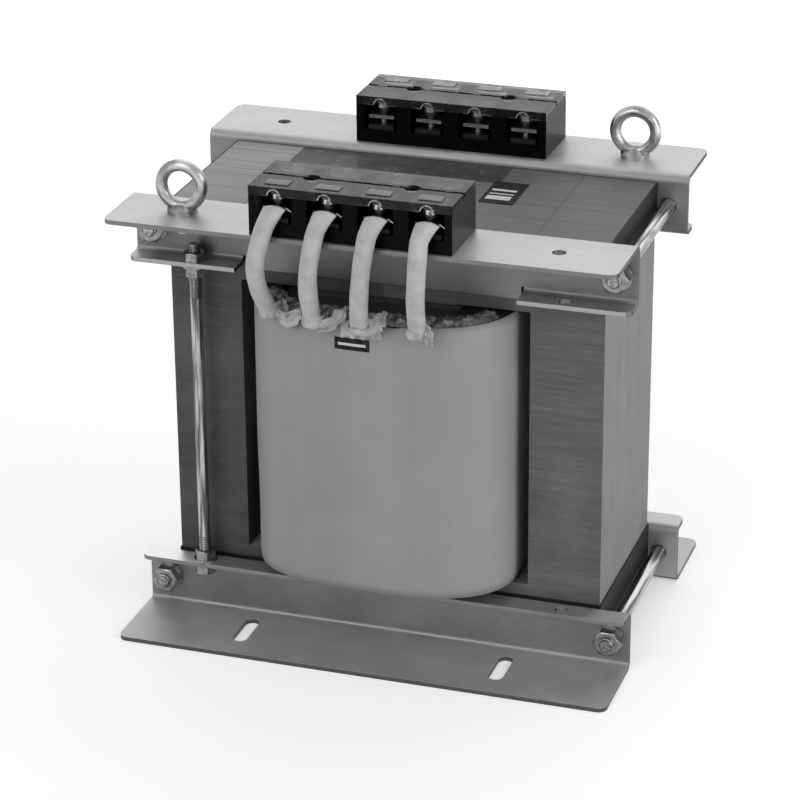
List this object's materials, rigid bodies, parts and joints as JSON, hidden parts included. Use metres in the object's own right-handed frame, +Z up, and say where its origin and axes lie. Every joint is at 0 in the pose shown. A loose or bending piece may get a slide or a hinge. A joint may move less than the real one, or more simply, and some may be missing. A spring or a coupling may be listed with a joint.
{
  "type": "autotransformer",
  "caption": "Open-frame dry autotransformer: shell core with one coil, folded steel brackets with slotted feet, tie rods, terminal blocks and lifting eyebolts.",
  "frame": {"origin": "middle of the footprint of the four feet, on the plane they stand on; the leads in front reach a little past the feet", "axes": "+X along the brackets, -Y towards the front with the connected leads, +Z up"},
  "size_m": [0.344, 0.2721, 0.34],
  "materials": {
    "black_insulation": "matte",
    "copper": "satin",
    "core_steel": "satin",
    "galvanised_sheet": "satin",
    "lid_plastic": "gloss",
    "pressboard": "matte",
    "sleeve": "matte",
    "tag_plastic": "matte",
    "tape": "matte",
    "terminal_brass": "satin",
    "terminal_plastic": "gloss",
    "winding": "matte",
    "wrap": "matte",
    "zinc_fastener": "bright"
  },
  "bodies": {
    "root": {"bracket_foot_front": "galvanised_sheet", "bracket_foot_rear": "galvanised_sheet", "bracket_top_front": "galvanised_sheet", "bracket_top_rear": "galvanised_sheet", "coil_former": "pressboard", "coil_wrap": "wrap", "collar_inner_bottom": "pressboard", "collar_inner_top": "pressboard", "collar_outer_bottom": "pressboard", "collar_outer_top": "pressboard", "core_limb_centre": "core_steel", "core_limb_left": "core_steel", "core_limb_right": "core_steel", "core_yoke_bottom": "core_steel", "core_yoke_top": "core_steel", "duct_spacers": "pressboard", "eyebolt_front_left": "zinc_fastener", "eyebolt_nuts": "zinc_fastener", "eyebolt_rear_right": "zinc_fastener", "eyebolt_washers": "zinc_fastener", "lead_1": "sleeve", "lead_2": "sleeve", "lead_3": "sleeve", "lead_4": "sleeve", "lead_tapes": "tape", "lead_wires": "copper", "terminal_bars_front": "terminal_brass", "terminal_bars_rear": "terminal_brass", "terminal_body_front": "terminal_plastic", "terminal_body_rear": "terminal_plastic", "terminal_clamps_front": "zinc_fastener", "terminal_clamps_rear": "zinc_fastener", "terminal_fixing_nuts": "zinc_fastener", "terminal_fixing_screws": "zinc_fastener", "terminal_lid_inner_front": "lid_plastic", "terminal_lid_inner_rear": "lid_plastic", "terminal_lid_outer_front": "lid_plastic", "terminal_lid_outer_rear": "lid_plastic", "terminal_screws_front": "zinc_fastener", "terminal_screws_rear": "zinc_fastener", "terminal_tags_front": "tag_plastic", "terminal_tags_rear": "tag_plastic", "tie_rod_bottom_left": "zinc_fastener", "tie_rod_bottom_right": "zinc_fastener", "tie_rod_nuts": "zinc_fastener", "tie_rod_top_left": "zinc_fastener", "tie_rod_top_right": "zinc_fastener", "tie_rod_washers": "zinc_fastener", "upright_rod_front_left": "zinc_fastener", "upright_rod_nuts": "zinc_fastener", "upright_rod_rear_right": "zinc_fastener", "upright_rod_washers": "zinc_fastener", "winding_inner": "winding", "winding_outer": "winding", "yoke_band_bottom": "black_insulation", "yoke_band_top": "black_insulation"}
  },
  "joints": []
}
